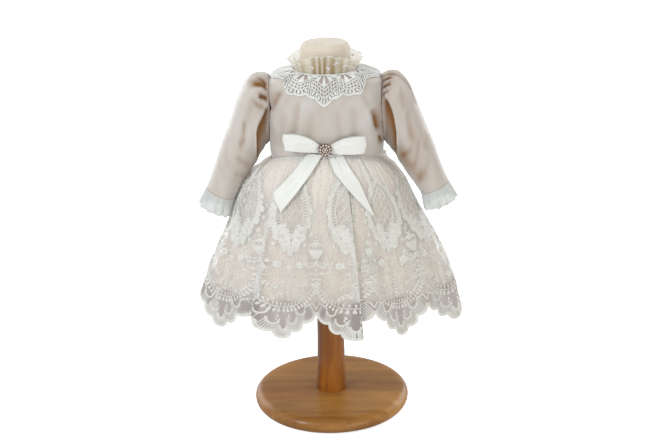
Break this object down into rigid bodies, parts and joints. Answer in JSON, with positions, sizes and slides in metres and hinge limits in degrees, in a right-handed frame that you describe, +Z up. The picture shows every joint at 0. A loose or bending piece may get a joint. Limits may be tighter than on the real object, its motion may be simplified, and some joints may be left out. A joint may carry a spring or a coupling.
{
  "type": "christening gown on dress form stand",
  "caption": "Baby christening gown with lace collar, puffed long sleeves, ribbon bows and a pointed lace skirt, worn by a plain dress form on a wooden post and round base.",
  "frame": {"origin": "centre of the wooden base's underside, on the floor", "axes": "+Z up along the post; the gown's front faces -Y; the wearer's left is towards +X"},
  "size_m": [0.4356, 0.2758, 0.6215],
  "materials": {
    "satin": "champagne crepe-back satin",
    "lining": "matt lining under the lace",
    "lace": "ivory embroidered tulle",
    "tulle": "gathered soft tulle",
    "guipure": "ivory guipure lace",
    "ribbon": "ivory woven ribbon",
    "brooch": "antique rose metal with small glass stones",
    "button": "pearl",
    "jersey": "stretched cotton jersey",
    "wood": "honey varnish"
  },
  "bodies": {
    "root": {"bodice_front": "satin", "bodice_back_left": "satin", "bodice_back_right": "satin", "sleeve_left": "satin", "sleeve_right": "satin", "cuff_frill_left": "tulle", "cuff_frill_right": "tulle", "neck_frill": "tulle", "collar_lace": "guipure", "skirt_lining": "lining", "skirt_lace": "lace", "front_bow_loop_left": "ribbon", "front_bow_loop_right": "ribbon", "front_bow_tail_left": "ribbon", "front_bow_tail_right": "ribbon", "front_bow_knot": "ribbon", "brooch": "brooch", "back_bow_loop_left": "ribbon", "back_bow_loop_right": "ribbon", "back_bow_tail_left": "ribbon", "back_bow_tail_right": "ribbon", "back_bow_knot": "ribbon", "back_button_1": "button", "back_button_2": "button", "back_button_3": "button", "back_button_4": "button", "form_torso": "jersey", "stand_post": "wood", "stand_base": "wood"}
  },
  "joints": []
}
